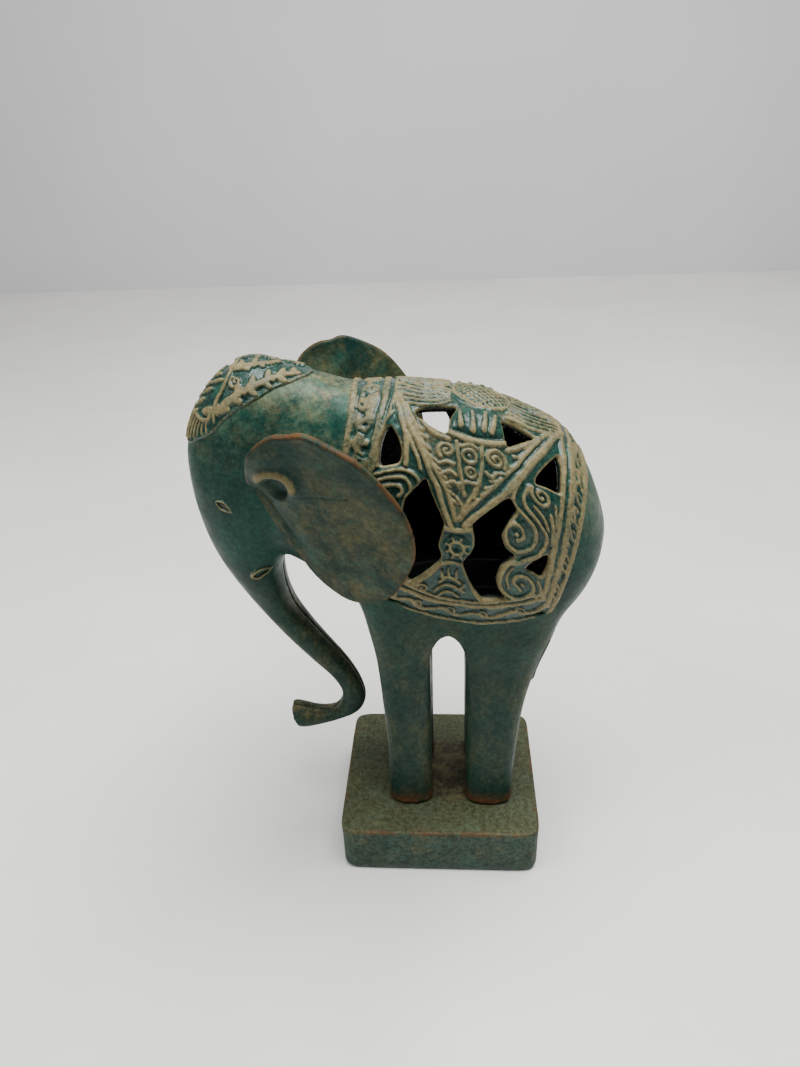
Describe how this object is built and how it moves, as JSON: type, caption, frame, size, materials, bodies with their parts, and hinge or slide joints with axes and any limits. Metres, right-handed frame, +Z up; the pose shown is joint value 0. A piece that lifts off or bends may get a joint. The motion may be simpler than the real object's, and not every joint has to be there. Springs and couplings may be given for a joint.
{
  "type": "elephant still bank",
  "caption": "Hollow cast elephant figure with a pierced blanket pattern on both flanks, standing on a rectangular plinth; halves, ears and plinth are screwed and pinned together.",
  "frame": {"origin": "centre of the plinth's underside", "axes": "+Z up, -X the way the elephant faces, +Y to its right side"},
  "size_m": [0.124, 0.0876, 0.1801],
  "materials": {
    "body_patina": "satin dark teal-green patina with cream highlights on the relief",
    "ear_patina": "satin green patina, orange-brown where the rim is worn",
    "plinth_patina": "satin green-black patina with ochre mottling",
    "blackened_plate": "dull blackened",
    "fastener_steel": "plain steel, dulled"
  },
  "bodies": {
    "root": {"left_body_half": "body_patina", "right_body_half": "body_patina", "left_ear": "ear_patina", "right_ear": "ear_patina", "plinth": "plinth_patina", "base_plate": "blackened_plate", "left_ear_upper_pin": "fastener_steel", "right_ear_upper_pin": "fastener_steel", "left_ear_lower_pin": "fastener_steel", "right_ear_lower_pin": "fastener_steel", "head_tie_screw": "fastener_steel", "shoulder_tie_screw": "fastener_steel", "hip_tie_screw": "fastener_steel", "shoulder_dowel": "fastener_steel", "hip_dowel": "fastener_steel", "front_left_leg_washer": "fastener_steel", "front_left_leg_screw": "fastener_steel", "front_right_leg_washer": "fastener_steel", "front_right_leg_screw": "fastener_steel", "rear_left_leg_washer": "fastener_steel", "rear_left_leg_screw": "fastener_steel", "rear_right_leg_washer": "fastener_steel", "rear_right_leg_screw": "fastener_steel", "base_plate_screw_1": "fastener_steel", "base_plate_screw_2": "fastener_steel", "base_plate_screw_3": "fastener_steel", "base_plate_screw_4": "fastener_steel"}
  },
  "joints": []
}
